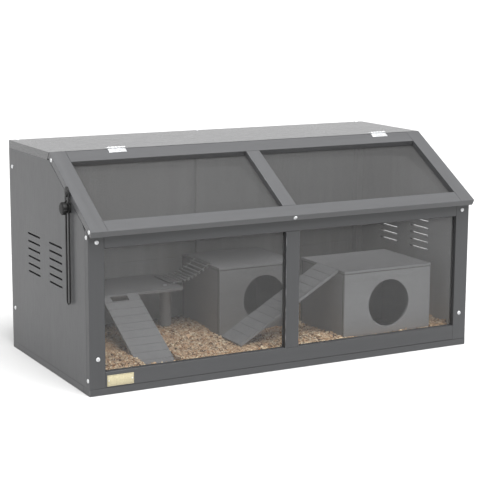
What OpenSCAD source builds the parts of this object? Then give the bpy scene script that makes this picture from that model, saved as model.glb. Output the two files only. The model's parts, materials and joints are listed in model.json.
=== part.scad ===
// Wooden hamster cage: a long low box with a window front, a sloping hinged lid with two
// windows, a slotted lid stay on the left, and loose furniture on a bed of shavings.
// Millimetres. +X is the viewer's right, +Y is towards the back, +Z is up.
// The origin is on the underside of the base, at the middle of its length and depth.

/* [Cage] */
// Length from side to side
cage_length = 1150; // [1100:10:1400]
// Depth from front to back
cage_depth = 560; // [540:5:700]
// Height to the top of the roof board
cage_height = 585; // [560:5:720]
// Height of the lid's upper face above the front face of the cage
lid_front_height = 434; // [400:2:440]
// Depth of the flat roof behind the lid
roof_depth = 307; // [280:1:330]

/* [Boards] */
// Height of the base rails
base_thickness = 19; // [15:1:25]
// Width of the base rails
base_rail_width = 45; // [35:1:60]
// Thickness of the floor panel
floor_thickness = 5; // [3:0.5:9]
// Thickness of the side panels
side_thickness = 12; // [9:0.5:15]
// Thickness of the back panels
back_thickness = 12; // [9:0.5:15]
// Thickness of the roof board
roof_thickness = 21; // [15:1:25]
// Thickness of the front frame
frame_thickness = 20; // [16:1:25]
// Side of the square corner battens
batten = 22; // [18:1:26]
// Chamfer along the edges of the boards
ease = 0.8; // [0.4:0.1:1.5]

/* [Front frame] */
// Width of the left and right stiles
stile_width = 43; // [36:1:55]
// Width of the centre stile
centre_stile_width = 41; // [32:1:55]
// Distance of the centre stile to the right of the cage's middle
centre_stile_shift = 5; // [0:1:10]
// Height of the bottom rail
bottom_rail_height = 40; // [36:1:60]
// Height of the top rail at the front face
top_rail_height = 39; // [32:1:50]
// Thickness of the window panes
pane_thickness = 3; // [2:0.5:4]
// Width by which a pane's edge is let into the frame around it
pane_lap = 8; // [5:0.5:9]
// Depth of the front panes behind the front face of the frame
pane_set = 10; // [6:0.5:11]

/* [Lid] */
// Thickness of the lid frame
lid_thickness = 18; // [15:0.5:22]
// Reach of the lid's upper edge beyond the front face
lid_overhang = 23.6; // [15:0.2:35]
// Width of the lid's left and right stiles
lid_stile_width = 45; // [38:1:55]
// Width of the lid's centre stile
lid_centre_width = 41; // [34:1:50]
// Width of the lid's top rail
lid_top_rail = 45; // [38:1:55]
// Width of the lid's bottom rail
lid_bottom_rail = 41; // [34:1:50]
// Gap between the lid and what it closes on
lid_gap = 0.8; // [0.5:0.1:1.5]
// Gap between the lid's upper end and the roof board
lid_end_gap = 1.6; // [1:0.1:3]
// Opening angle of the lid
lid_open_angle = 90; // [60:1:95]

/* [Hinges] */
// Length of each hinge
hinge_length = 50; // [40:1:60]
// Width of each leaf
hinge_leaf = 18; // [14:0.5:24]
// Thickness of the leaves
hinge_plate = 1.2; // [0.8:0.1:1.5]
// Radius of the knuckles
knuckle_radius = 2.4; // [2:0.1:2.8]
// Radius of the hinge pin
hinge_pin_radius = 1.2; // [1:0.05:1.4]
// Left hinge: from the lid's left end to the hinge's middle
hinge_inset_left = 187; // [100:1:240]
// Right hinge: from the lid's right end to the hinge's middle
hinge_inset_right = 143; // [100:1:240]

/* [Vents] */
// Number of slots in a column
vent_count = 6; // [2:1:8]
// Distance between slots
vent_pitch = 20.7; // [14:0.1:24]
// Length of a slot
vent_length = 90; // [60:1:110]
// Height of a slot
vent_height = 5; // [3:0.5:7]
// Height of the top slot above the bottom of the cage
vent_top = 348; // [320:1:360]
// Front column: from the front face to the slot's near end
vent_front = 175; // [160:1:190]
// Gap between the two columns
vent_gap = 68; // [40:1:90]

/* [Lid stay] */
// Distance of the stay's pivot down the slope from the roof edge
stay_down_slope = 162.6; // [150:0.2:180]
// Distance from the pivot down to the clamp stud with the lid shut
stay_drop = 34; // [30:1:45]
// Width of the slotted bar
stay_width = 26; // [22:0.5:32]
// Thickness of the slotted bar
stay_plate = 3; // [2:0.5:4]
// Width of the slot
stay_slot = 12.6; // [11:0.2:14]
// Solid end of the bar above the pivot
stay_head = 21; // [14:0.5:28]
// Thickness of the washer between the side panel and the bar
stay_washer = 4.5; // [3:0.5:7]
// Radius of the clamp stud
stud_radius = 3; // [2.5:0.1:4]
// Radius of the knob
knob_radius = 16.5; // [13:0.5:20]
// Depth of the knob
knob_depth = 15; // [12:0.5:20]

/* [Screws] */
// Radius of the domed screw heads
screw_head = 5.6; // [4.5:0.1:6.5]
// Radius of the screw shanks
screw_shank = 2; // [1.5:0.1:2.3]

/* [Platform] */
// Length of the platform along the back wall
platform_length = 419; // [300:1:425]
// Depth of the platform
platform_depth = 203; // [160:1:210]
// Height of the platform's top
platform_top = 170; // [150:1:185]
// Thickness of the platform
platform_thickness = 8; // [6:0.5:12]
// Radius of the platform's free corner
platform_corner = 14; // [8:1:30]
// Radius of the platform's post
post_radius = 17; // [13:0.5:22]

/* [Houses] */
// Width of the house near the middle
house_one_width = 250; // [230:1:270]
// Width of the house on the right
house_two_width = 286; // [260:1:300]
// Depth of both houses
house_depth = 235; // [215:1:240]
// Height of both houses above the floor
house_height = 212; // [190:1:215]
// Thickness of the house walls and roofs
house_wall = 8; // [6:0.5:10]
// Radius of the round doorways
doorway_radius = 66.5; // [50:0.5:68]

/* [Ramps and bridge] */
// Width of both ramps
ramp_width = 108; // [90:1:115]
// Thickness of both ramps
ramp_thickness = 8; // [6:0.5:10]
// Distance between the treads marked on a ramp
tread_pitch = 29; // [28:1:36]
// Number of slats in the bridge
bridge_slat_count = 12; // [8:1:14]
// Radius of the bridge slats
bridge_slat_radius = 3.2; // [2:0.1:3.4]
// Length of the bridge slats
bridge_width = 104; // [80:1:110]

/* [Bedding] */
// Depth of the shavings at the top of their heap
bedding_depth = 30; // [14:1:34]

/* [Hidden] */
$fn = 48;

// Colours of the finishes
frame_grey = [0.42, 0.42, 0.43];
panel_grey = [0.46, 0.46, 0.47];
inside_grey = [0.5, 0.5, 0.51];
pane_tint = [0.6, 0.62, 0.63, 0.35];
steel = [0.78, 0.79, 0.8];
black = [0.05, 0.05, 0.05];
plate_cream = [0.84, 0.8, 0.64];
shavings = [0.78, 0.64, 0.47];

// Planes of the cage
half = cage_length / 2;
front = -cage_depth / 2;
back = cage_depth / 2;
inner_half = half - side_thickness;
inner_back = back - back_thickness;
frame_back = front + frame_thickness;
floor_bottom = base_thickness;
floor_top = base_thickness + floor_thickness;
walls_top = cage_height - roof_thickness;

// The lid's plane, through the roof's upper front edge
roof_front = back - roof_depth;
slope = atan2(cage_height - lid_front_height, roof_front - front);
lid_length = (roof_front - front + lid_overhang) / cos(slope);
lid_middle = lid_thickness / 2;
function closing_height(y) =
  cage_height - (roof_front - y) * tan(slope) - (lid_thickness + lid_gap) / cos(slope);
function lid_point(along, up) =
  [roof_front + along * cos(slope) - up * sin(slope),
   cage_height + along * sin(slope) + up * cos(slope)];

// Front frame
window_bottom = base_thickness + bottom_rail_height;
window_top = closing_height(front) - top_rail_height;
stile_inner = half - stile_width;
centre_stile_left = centre_stile_shift - centre_stile_width / 2;
centre_stile_right = centre_stile_shift + centre_stile_width / 2;
stile_screw_rise = 75;
stile_screw_drop = 22;
edge_screw_rise = 20;
edge_screw_drop = 10;
edge_screw_depth = 11;
head_height = 2.6;
dome = 2.6;
screw_reach = 25;
batten_bite = 0.7 * batten;
pilot_gap = 0.15;
batten_screw_drop = 50;
batten_screw_rise = 98;
roof_screw_inset = 12;
roof_screw_bite = 7;
roof_screw_length = roof_thickness + roof_screw_bite;
front_notch = [14, 10];

// Lid frame, in the lid's own plane
lid_window_half = half - lid_stile_width;
lid_rail_inner = lid_centre_width / 2;
lid_screw_inset = 22;
lip_screw_inset = 12;
rebate_gap = 0.2;

// Hinges
hinge_rise = knuckle_radius + 0.6;
knuckle_gap = 0.4;
pin_gap = 0.06;
knuckles = 5;
hinge_places = [-half + hinge_inset_left, half - hinge_inset_right];
hinge_screw_spread = 0.32;
hinge_screw_radius = 1.4;
hinge_screw_length = 10;
hinge_axis = [roof_front, cage_height + hinge_rise];

// Lid stay
stay_pivot = lid_point(-stay_down_slope, -lid_middle);
stay_stud_place = [stay_pivot[0], stay_pivot[1] - stay_drop];
bar_inner = -half - stay_washer;
bar_gap = 0.4;
flat_gap = 0.15;
guide_half = stay_slot / 2 - flat_gap;
slot_end_gap = 2;
pivot_hole = 3.1;
pivot_shank = 3;
pivot_side_gap = 0.6;
stud_run_gap = 0.07;
function reach(angle) =
  let (p = stay_pivot - hinge_axis, s = stay_stud_place - hinge_axis,
       between = atan2(s[1], s[0]) - atan2(p[1], p[0]))
  sqrt(p * p + s * s - 2 * norm(p) * norm(s) * cos(between + angle));
slot_head_room = 8;
slot_top = -stay_drop + stay_slot / 2 + slot_head_room;
slot_bottom = -reach(lid_open_angle) - stay_slot / 2 - slot_end_gap;
bar_bottom = slot_bottom - stay_width / 4;
grip_count = 10;

// Furniture
platform_back = inner_back - 0.5;
platform_right = -inner_half + platform_length;
platform_front = platform_back - platform_depth;
platform_bottom = platform_top - platform_thickness;
post_inset = [37, 50];
post_place = [platform_right - post_inset[0], platform_front + post_inset[1]];
post_screw_length = 30;
post_screw_head = 1.4;
cleat = 15;
ramp_end_gap = 1;
groove = 1.2;
groove_width = 2;

house_top = floor_top + house_height;
house_one_at = [-84, -30];
house_two_at = [198, -232];
doorway_one = [144, 112.5];
doorway_two = [147, 111.5];
groove_height = 212;

ramp_one_at = -398;
ramp_one_angle = 29.2;
ramp_slot = [50, 20];
ramp_slot_at = [24, 6];
ramp_one_bottom = floor_top + 0.3;
ramp_two_front = -200;
ramp_two_angle = 30;
ramp_two_bottom = floor_top + bedding_depth + 0.3;

bridge_sag = 15;
bridge_rest = 0.2;
bridge_lap = 17;
bridge_seat = 1.2;
bridge_front = [122, 24];
bridge_low = [platform_right - bridge_lap, bridge_front[0],
              platform_top + bridge_slat_radius + bridge_rest];
bridge_high = [house_one_at[0] + bridge_seat, bridge_front[1],
               house_top + bridge_slat_radius + bridge_rest];
wire_radius = 1;
wire_inset = 9;
wire_sides = 12;

bed_gap = 0.5;
ramp_landing = 44;
ramp_rise = 16;
bed_heap = [[-0.01, 0.84], [0.22, 0.93], [0.42, 0.72], [0.72, 1], [0.86, 0.72], [1.01, 0.22]];

// A board with chamfered long edges, from its lowest corner
function eased(a, b) =
  [[ease, 0], [a - ease, 0], [a, ease], [a, b - ease],
   [a - ease, b], [ease, b], [0, b - ease], [0, ease]];

module board(low, high, grain) {
  size = high - low;
  translate(low) {
    if (grain == "x")
      rotate([90, 0, 90]) linear_extrude(size[0]) polygon(eased(size[1], size[2]));
    if (grain == "y")
      translate([0, size[1], 0])
        rotate([90, 0, 0]) linear_extrude(size[1]) polygon(eased(size[0], size[2]));
    if (grain == "z")
      linear_extrude(size[2]) polygon(eased(size[0], size[1]));
  }
}

module block(low, high) {
  translate(low) cube(high - low);
}

// A rectangle grown by a small gap, for what is cut clear of a piece that stands there
module footprint(low, size) {
  translate([low[0] - bed_gap, low[1] - bed_gap])
    square([size[0] + 2 * bed_gap, size[1] + 2 * bed_gap]);
}

// A rod from a point, along "x", "y" or "z"; a negative length runs backwards
module rod(at, direction, length, radius) {
  turn = direction == "x" ? [0, 90, 0] : direction == "y" ? [-90, 0, 0] : [0, 0, 0];
  translate(at)
    rotate(turn)
      translate([0, 0, min(length, 0)])
        cylinder(h = abs(length), r = radius);
}

// A domed wood screw: shank into the work and head proud of it, along the local +Z
module screw(length) {
  translate([0, 0, -length]) cylinder(h = length + 0.5, r = screw_shank);
  intersection() {
    cylinder(h = head_height, r = screw_head);
    translate([0, 0, head_height - screw_head * dome]) sphere(r = screw_head * dome, $fn = 96);
  }
}

module pilot(length) {
  translate([0, 0, -length]) cylinder(h = length + 1, r = screw_shank + pilot_gap);
}

// Places a child at each screw of the front frame and the side panels
stile_screw_length = frame_thickness + batten_bite;
edge_screw_length = stile_width + screw_reach;
side_screw_length = side_thickness + batten_bite;

module at_stile_screws() {
  for (side = [-1, 1], z = [base_thickness + stile_screw_rise,
                            closing_height(front) - stile_screw_drop])
    translate([side * (inner_half - batten / 2), front, z]) rotate([90, 0, 0]) children();
}

module at_edge_screws() {
  for (side = [-1, 1], z = [base_thickness + edge_screw_rise,
                            closing_height(front) - edge_screw_drop])
    translate([side * half, front + edge_screw_depth, z]) rotate([0, side * 90, 0]) children();
}

module at_side_screws() {
  for (side = [-1, 1], z = [base_thickness + batten_screw_rise, walls_top - batten_screw_drop])
    translate([side * half, inner_back - batten / 2, z]) rotate([0, side * 90, 0]) children();
}

module at_roof_screws() {
  for (x = [-inner_half + roof_screw_inset, 0, inner_half - roof_screw_inset])
    translate([x, back - back_thickness / 2, cage_height]) children();
}

module frame_pilots() {
  at_stile_screws() pilot(stile_screw_length);
  at_edge_screws() pilot(edge_screw_length);
  at_side_screws() pilot(side_screw_length);
}

// Everything above the plane that the lid closes on
module above_closing_plane() {
  translate([0, roof_front, cage_height])
    rotate([slope, 0, 0])
      translate([-cage_length, -cage_length, -lid_thickness - lid_gap])
        cube([2 * cage_length, 2 * cage_length, cage_length]);
}

// --- Base -------------------------------------------------------------------------

module base_front_rail() {
  color(panel_grey)
    board([-half, front, 0], [half, front + base_rail_width, base_thickness], "x");
}

module base_back_rail() {
  color(panel_grey)
    board([-half, back - base_rail_width, 0], [half, back, base_thickness], "x");
}

module base_side_rails() {
  color(panel_grey)
    for (x = [-half, half - base_rail_width])
      board([x, front + base_rail_width, 0],
            [x + base_rail_width, back - base_rail_width, base_thickness], "y");
}

module base_middle_rail() {
  color(panel_grey)
    board([-base_rail_width / 2, front + base_rail_width, 0],
          [base_rail_width / 2, back - base_rail_width, base_thickness], "y");
}

module floor_panel() {
  color(inside_grey)
    block([-inner_half, frame_back, floor_bottom], [inner_half, inner_back, floor_top]);
}

// --- Walls and roof ---------------------------------------------------------------

module vent_slot() {
  translate([0, vent_height / 2, -vent_height / 2])
    cube([4 * side_thickness, vent_length - vent_height, vent_height]);
  for (y = [vent_height / 2, vent_length - vent_height / 2])
    rod([0, y, 0], "x", 4 * side_thickness, vent_height / 2);
}

module vents() {
  for (column = [0, 1], row = [0 : vent_count - 1])
    translate([-2 * side_thickness,
               front + vent_front + column * (vent_length + vent_gap),
               vent_top - row * vent_pitch])
      vent_slot();
}

// Where the plane that the lid closes on reaches the top of the walls
closing_peak = roof_front + (walls_top - closing_height(roof_front)) / tan(slope);

// Outline of a side panel, seen from the right
side_outline = [
  [frame_back, base_thickness],
  [back, base_thickness],
  [back, walls_top],
  [closing_peak, walls_top],
  [frame_back + front_notch[0], closing_height(frame_back + front_notch[0])],
  [frame_back, closing_height(frame_back) - front_notch[1]]
];

module side_panel() {
  difference() {
    rotate([90, 0, 90]) linear_extrude(side_thickness) polygon(side_outline);
    vents();
  }
}

module left_side_panel() {
  color(panel_grey)
    difference() {
      translate([-half, 0, 0]) side_panel();
      frame_pilots();
      rod([-half - 1, stay_stud_place[0], stay_stud_place[1]], "x",
          side_thickness + 2, stud_radius + pilot_gap);
    }
}

module right_side_panel() {
  color(panel_grey)
    difference() {
      translate([inner_half, 0, 0]) side_panel();
      frame_pilots();
    }
}

// A back panel with the groove between its two boards on the inner face
module back_panel(from_x, to_x) {
  difference() {
    block([from_x, inner_back, base_thickness], [to_x, back, walls_top]);
    translate([from_x - 1, inner_back, groove_height])
      rotate([90, 0, 90])
        linear_extrude(to_x - from_x + 2)
          polygon([[-1, -groove_width], [groove, 0], [-1, groove_width]]);
    at_roof_screws() pilot(roof_screw_length + 1);
  }
}

module back_panel_left() {
  color(panel_grey) back_panel(-inner_half, 0);
}

module back_panel_right() {
  color(panel_grey) back_panel(0, inner_half);
}

module back_centre_batten() {
  color(inside_grey)
    board([-batten / 2, inner_back - batten / 2, floor_top], [batten / 2, inner_back, walls_top],
          "z");
}

module corner_battens() {
  color(inside_grey)
    difference() {
      for (x = [-inner_half, inner_half - batten]) {
        board([x, frame_back, floor_top], [x + batten, frame_back + batten, cage_height], "z");
        board([x, inner_back - batten, floor_top], [x + batten, inner_back, walls_top], "z");
      }
      above_closing_plane();
      frame_pilots();
    }
}

module roof_panel() {
  run = roof_thickness * tan(slope);
  front_edge = roof_front + lid_end_gap;
  color(panel_grey)
    difference() {
      translate([-half, 0, 0])
        rotate([90, 0, 90])
          linear_extrude(cage_length)
            polygon([
              [front_edge + run, walls_top],
              [back, walls_top],
              [back, cage_height - ease],
              [back - ease, cage_height],
              [front_edge + ease, cage_height],
              [front_edge + ease * tan(slope), cage_height - ease]
            ]);
      at_roof_screws() pilot(roof_screw_length + 1);
      roof_leaf_frame() pilot_hinge();
    }
}

// --- Front frame ------------------------------------------------------------------

// Both front panes, grown by a gap to cut the grooves that hold them
module front_panes(gap) {
  for (ends = [[-stile_inner - pane_lap, centre_stile_left + pane_lap],
               [centre_stile_right - pane_lap, stile_inner + pane_lap]])
    front_pane(ends[0], ends[1], gap);
}

module front_pane(from_x, to_x, gap = 0) {
  block([from_x - gap, front + pane_set, window_bottom - pane_lap - gap],
        [to_x + gap, front + pane_set + pane_thickness + gap, window_top + pane_lap + gap]);
}

module front_stile(from_x) {
  difference() {
    board([from_x, front, base_thickness], [from_x + stile_width, frame_back, cage_height], "z");
    above_closing_plane();
    frame_pilots();
    front_panes(rebate_gap);
  }
}

module front_left_stile() {
  color(frame_grey) front_stile(-half);
}

module front_right_stile() {
  color(frame_grey) front_stile(stile_inner);
}

module front_centre_stile() {
  color(frame_grey)
    difference() {
      board([centre_stile_left, front, window_bottom],
            [centre_stile_right, frame_back, window_top], "z");
      front_panes(rebate_gap);
    }
}

module front_top_rail() {
  color(frame_grey)
    difference() {
      board([-stile_inner, front, window_top], [stile_inner, frame_back, cage_height], "x");
      above_closing_plane();
      frame_pilots();
      front_panes(rebate_gap);
    }
}

module front_bottom_rail() {
  color(frame_grey)
    difference() {
      board([-stile_inner, front, base_thickness], [stile_inner, frame_back, window_bottom], "x");
      frame_pilots();
      front_panes(rebate_gap);
      nail_holes();
    }
}

module front_left_pane() {
  color(pane_tint) front_pane(-stile_inner - pane_lap, centre_stile_left + pane_lap);
}

module front_right_pane() {
  color(pane_tint) front_pane(centre_stile_right - pane_lap, stile_inner + pane_lap);
}

module frame_screws() {
  color(steel) {
    at_stile_screws() screw(stile_screw_length);
    at_edge_screws() screw(edge_screw_length);
    at_side_screws() screw(side_screw_length);
  }
}

module roof_screws() {
  color(steel) at_roof_screws() screw(roof_screw_length);
}

// --- Nameplate --------------------------------------------------------------------

plate_size = [72, 28];
plate_thickness = 1.2;
plate_inset = [4, 3];
plate_corner = [-stile_inner + plate_inset[0], base_thickness + plate_inset[1]];
nail_radius = 0.9;
nail_inset = 4;

module at_nameplate_nails() {
  for (x = [nail_inset, plate_size[0] - nail_inset])
    translate([plate_corner[0] + x, front, plate_corner[1] + plate_size[1] / 2])
      rotate([90, 0, 0]) children();
}

module nail_holes() {
  through = frame_thickness - 2;
  at_nameplate_nails()
    cylinder(h = 2 * through, r = nail_radius + pilot_gap, center = true);
}

module nameplate() {
  color(plate_cream)
    difference() {
      translate([plate_corner[0], front, plate_corner[1]])
        rotate([90, 0, 0])
          linear_extrude(plate_thickness)
            polygon(eased(plate_size[0], plate_size[1]));
      nail_holes();
    }
}

module nameplate_nails() {
  color(steel)
    at_nameplate_nails() {
      translate([0, 0, -9]) cylinder(h = 9 + plate_thickness, r = nail_radius);
      translate([0, 0, plate_thickness]) cylinder(h = 0.6, r = 2 * nail_radius);
    }
}

// --- Lid --------------------------------------------------------------------------

// The lid's own plane: +Y runs up the slope to the roof edge, +Z stands off its face
module on_lid() {
  translate([0, roof_front, cage_height]) rotate([slope, 0, 0]) children();
}

module lid_pane_rebates() {
  for (side = [-1, 1])
    translate([0, 0, -lid_thickness - 1])
      linear_extrude(1 + pane_thickness + rebate_gap)
        polygon([
          for (corner = [[0, 0], [1, 0], [1, 1], [0, 1]])
            [side * (corner[0] == 0 ? lid_rail_inner - pane_lap - rebate_gap
                                    : lid_window_half + pane_lap + rebate_gap),
             corner[1] == 0 ? -lid_length + lid_bottom_rail - pane_lap - rebate_gap
                            : -lid_top_rail + pane_lap + rebate_gap]
        ]);
}

module at_lid_edge_screws() {
  for (side = [-1, 1], y = [-lid_screw_inset, -lid_length + lip_screw_inset])
    translate([side * half, y, -lid_middle]) rotate([0, side * 90, 0]) children();
}

module at_lip_screw() {
  translate([0, -lid_length, -lid_middle]) rotate([90, 0, 0]) children();
}

lid_edge_screw_length = lid_stile_width + screw_reach;
lip_screw_length = lid_bottom_rail + screw_reach;

module lid_pilots() {
  at_lid_edge_screws() pilot(lid_edge_screw_length);
  at_lip_screw() pilot(lip_screw_length);
}

// A member of the lid frame between two corners of the lid's plane
module lid_member(low, high, grain) {
  color(frame_grey)
    on_lid()
      difference() {
        board([low[0], low[1], -lid_thickness], [high[0], high[1], 0], grain);
        lid_pane_rebates();
        lid_pilots();
        hinge_seats();
      }
}

module lid_left_stile() {
  lid_member([-half, -lid_length], [-lid_window_half, -lid_end_gap / 2], "y");
}

module lid_right_stile() {
  lid_member([lid_window_half, -lid_length], [half, -lid_end_gap / 2], "y");
}

module lid_centre_stile() {
  lid_member([-lid_rail_inner, -lid_length + lid_bottom_rail], [lid_rail_inner, -lid_top_rail], "y");
}

module lid_top_rail_board() {
  lid_member([-lid_window_half, -lid_top_rail], [lid_window_half, -lid_end_gap / 2], "x");
}

module lid_bottom_rail_board() {
  lid_member([-lid_window_half, -lid_length], [lid_window_half, -lid_length + lid_bottom_rail],
             "x");
}

module lid_pane(from_x, to_x) {
  color(pane_tint)
    on_lid()
      block([from_x, -lid_length + lid_bottom_rail - pane_lap, -lid_thickness],
            [to_x, -lid_top_rail + pane_lap, -lid_thickness + pane_thickness]);
}

module lid_left_pane() {
  lid_pane(-lid_window_half - pane_lap, -lid_rail_inner + pane_lap);
}

module lid_right_pane() {
  lid_pane(lid_rail_inner - pane_lap, lid_window_half + pane_lap);
}

module lid_screws() {
  color(steel)
    on_lid() {
      at_lid_edge_screws() screw(lid_edge_screw_length);
      at_lip_screw() screw(lip_screw_length);
    }
}

// --- Hinges -----------------------------------------------------------------------

function knuckle_from(i) = -hinge_length / 2 + i * hinge_length / knuckles;

// One leaf seen in its own plane: the plate lies at Z from 0, +Y away from the pin
module leaf(first, pin_height) {
  clear = knuckle_radius + knuckle_gap;
  difference() {
    union() {
      block([-hinge_length / 2, clear, 0], [hinge_length / 2, hinge_leaf, hinge_plate]);
      for (i = [first : 2 : knuckles - 1]) {
        low = knuckle_from(i) + knuckle_gap / 2;
        wide = hinge_length / knuckles - knuckle_gap;
        block([low, 0, 0], [low + wide, clear + 1, hinge_plate]);
        rod([low, 0, pin_height], "x", wide, knuckle_radius);
      }
    }
    rod([-hinge_length, 0, pin_height], "x", 2 * hinge_length, hinge_pin_radius + pin_gap);
    at_leaf_screws() cylinder(h = 10, r = hinge_screw_radius + pilot_gap, center = true);
  }
}

module at_leaf_screws() {
  for (side = [-1, 1])
    translate([side * hinge_length * hinge_screw_spread, (hinge_leaf + knuckle_radius) / 2, 0])
      children();
}

module leaf_screw() {
  translate([0, 0, -hinge_screw_length])
    cylinder(h = hinge_screw_length + hinge_plate, r = hinge_screw_radius);
  translate([0, 0, hinge_plate]) cylinder(h = 0.8, r1 = 2 * hinge_screw_radius,
                                          r2 = 1.2 * hinge_screw_radius);
}

module pilot_hinge() {
  at_leaf_screws()
    translate([0, 0, -hinge_screw_length - 1])
      cylinder(h = hinge_screw_length + 2, r = hinge_screw_radius + pilot_gap);
}

// The roof leaf lies on the roof; the lid leaf lies on the lid, below the pin
lid_pin_height = hinge_rise * cos(slope);
lid_pin_along = hinge_rise * sin(slope);

module roof_leaf_frame() {
  for (x = hinge_places)
    translate([x, roof_front, cage_height]) children();
}

module lid_leaf_frame() {
  for (x = hinge_places)
    translate([x, lid_pin_along, 0]) mirror([0, 1, 0]) children();
}

// Hollows for the knuckles and the leaf screws in the lid
module hinge_seats() {
  lid_leaf_frame() {
    pilot_hinge();
    rod([-hinge_length / 2 - 1, 0, lid_pin_height], "x", hinge_length + 2,
        knuckle_radius + knuckle_gap);
  }
}

module hinge_roof_leaves() {
  color(steel) roof_leaf_frame() leaf(0, hinge_rise);
}

module hinge_lid_leaves() {
  color(steel) on_lid() lid_leaf_frame() leaf(1, lid_pin_height);
}

module hinge_pins() {
  color(steel)
    for (x = hinge_places)
      rod([x - hinge_length / 2 - 0.6, hinge_axis[0], hinge_axis[1]], "x",
          hinge_length + 1.2, hinge_pin_radius);
}

module hinge_roof_screws() {
  color(steel) roof_leaf_frame() at_leaf_screws() leaf_screw();
}

module hinge_lid_screws() {
  color(steel) on_lid() lid_leaf_frame() at_leaf_screws() leaf_screw();
}

// --- Lid stay ---------------------------------------------------------------------

// Children are drawn in the YZ plane about the clamp stud and pushed out along -X
module at_stud(x) {
  translate([x, stay_stud_place[0], stay_stud_place[1]]) rotate([0, -90, 0]) children();
}

stud_inner = -inner_half + 6;
knob_inner = bar_inner - stay_plate - bar_gap;
stud_outer = knob_inner - knob_depth + 2;

module stay_stud() {
  color(steel) {
    at_stud(stud_inner) cylinder(h = stud_inner - stud_outer, r = stud_radius);
    at_stud(-inner_half + 4) cylinder(h = 4, r = 2 * stud_radius, $fn = 6);
    at_stud(-half)
      difference() {
        cylinder(h = stay_washer - bar_gap, r = stay_width / 2);
        translate([0, 0, -1]) cylinder(h = stay_washer + 2, r = stud_radius - 0.5);
      }
  }
}

module stay_knob() {
  color(black)
    at_stud(knob_inner)
      difference() {
        union() {
          cylinder(h = 3, r = knob_radius * 0.62);
          translate([0, 0, 3]) cylinder(h = knob_depth - 5, r = knob_radius - 1);
          translate([0, 0, knob_depth - 2])
            cylinder(h = 2, r1 = knob_radius - 1, r2 = knob_radius - 4);
          for (i = [0 : grip_count - 1])
            rotate([0, 0, i * 360 / grip_count])
              translate([knob_radius - 3, 0, 3]) cylinder(h = knob_depth - 5, r = 3);
        }
        translate([0, 0, -1]) cylinder(h = knob_depth, r = stud_radius + stud_run_gap);
      }
}

module stay_guide() {
  color(black)
    at_stud(bar_inner)
      difference() {
        translate([-guide_half, -guide_half, 0])
          cube([2 * guide_half, 2 * guide_half, stay_plate]);
        translate([0, 0, -1]) cylinder(h = stay_plate + 2, r = stud_radius + stud_run_gap);
      }
}

module stay_bar() {
  color(black)
    translate([bar_inner, stay_pivot[0], stay_pivot[1]])
      rotate([0, -90, 0])
        difference() {
          union() {
            translate([bar_bottom + stay_width / 2, -stay_width / 2, 0])
              cube([stay_head - bar_bottom - stay_width, stay_width, stay_plate]);
            for (x = [bar_bottom + stay_width / 2, stay_head - stay_width / 2])
              translate([x, 0, 0]) cylinder(h = stay_plate, r = stay_width / 2);
          }
          translate([0, 0, -1]) cylinder(h = stay_plate + 2, r = pivot_hole);
          translate([slot_bottom, -stay_slot / 2, -1])
            cube([slot_top - slot_bottom, stay_slot, stay_plate + 2]);
          for (x = [slot_bottom, slot_top])
            translate([x, 0, -1]) cylinder(h = stay_plate + 2, r = stay_slot / 2);
        }
}

module stay_pivot_screw() {
  color(black)
    translate([-half - pivot_side_gap, stay_pivot[0], stay_pivot[1]])
      rotate([0, -90, 0]) {
        cylinder(h = stay_washer - pivot_side_gap - 0.1, r = 5);
        cylinder(h = stay_washer - pivot_side_gap + stay_plate + 0.5, r = pivot_shank);
        translate([0, 0, stay_washer - pivot_side_gap + stay_plate + 0.1])
          cylinder(h = 3, r1 = 6, r2 = 4.5);
      }
}

// --- Platform ---------------------------------------------------------------------

module platform_outline() {
  c = platform_corner;
  difference() {
    translate([-inner_half + 0.5, platform_front])
      square([platform_right + inner_half - 0.5, platform_depth]);
    translate([platform_right - c, platform_front - 1]) square([c + 1, c + 1]);
    footprint([-inner_half, inner_back - batten], [batten, batten]);
  }
  translate([platform_right - c, platform_front + c]) circle(r = c);
}

module platform_board() {
  color(inside_grey)
    difference() {
      translate([0, 0, platform_bottom]) linear_extrude(platform_thickness) platform_outline();
      rod([post_place[0], post_place[1], platform_bottom - 1], "z", platform_thickness + 2,
          screw_shank + pilot_gap);
    }
}

module platform_post() {
  color(inside_grey)
    difference() {
      rod([post_place[0], post_place[1], floor_top], "z", platform_bottom - floor_top,
          post_radius);
      rod([post_place[0], post_place[1], platform_bottom + 1], "z", -27,
          screw_shank + pilot_gap);
    }
}

module platform_post_screw() {
  color(steel)
    translate([post_place[0], post_place[1], platform_top]) {
      translate([0, 0, -post_screw_length]) cylinder(h = post_screw_length, r = screw_shank);
      cylinder(h = post_screw_head, r1 = screw_head, r2 = screw_shank);
    }
}

module platform_cleats() {
  color(inside_grey) {
    board([-inner_half + batten, inner_back - cleat, platform_bottom - cleat],
          [platform_right - cleat, inner_back, platform_bottom], "x");
    board([-inner_half, platform_front + cleat, platform_bottom - cleat],
          [-inner_half + cleat, inner_back - batten, platform_bottom], "y");
  }
}

// --- Ramps and bridge -------------------------------------------------------------

// A ramp lies in its own plane: +Y climbs, the upper face is at Z = 0 and its
// upper end is at Y = 0, cut upright to lean on what it reaches
module ramp(length, angle) {
  difference() {
    translate([0, -length, -ramp_thickness]) cube([ramp_width, length, ramp_thickness]);
    for (down = [tread_pitch : tread_pitch : length - tread_pitch / 2])
      translate([-1, -down, 0])
        rotate([90, 0, 90])
          linear_extrude(ramp_width + 2)
            polygon([[-groove_width / 2, 0.5], [0, -groove], [groove_width / 2, 0.5]]);
    rotate([-angle, 0, 0])
      translate([-1, 0, -3 * ramp_thickness])
        cube([ramp_width + 2, 3 * ramp_thickness, 6 * ramp_thickness]);
  }
}

// Length of a ramp whose upper face drops by this much to its foot's underside
function ramp_run(drop, angle) = (drop - ramp_thickness * cos(angle)) / sin(angle);

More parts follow.
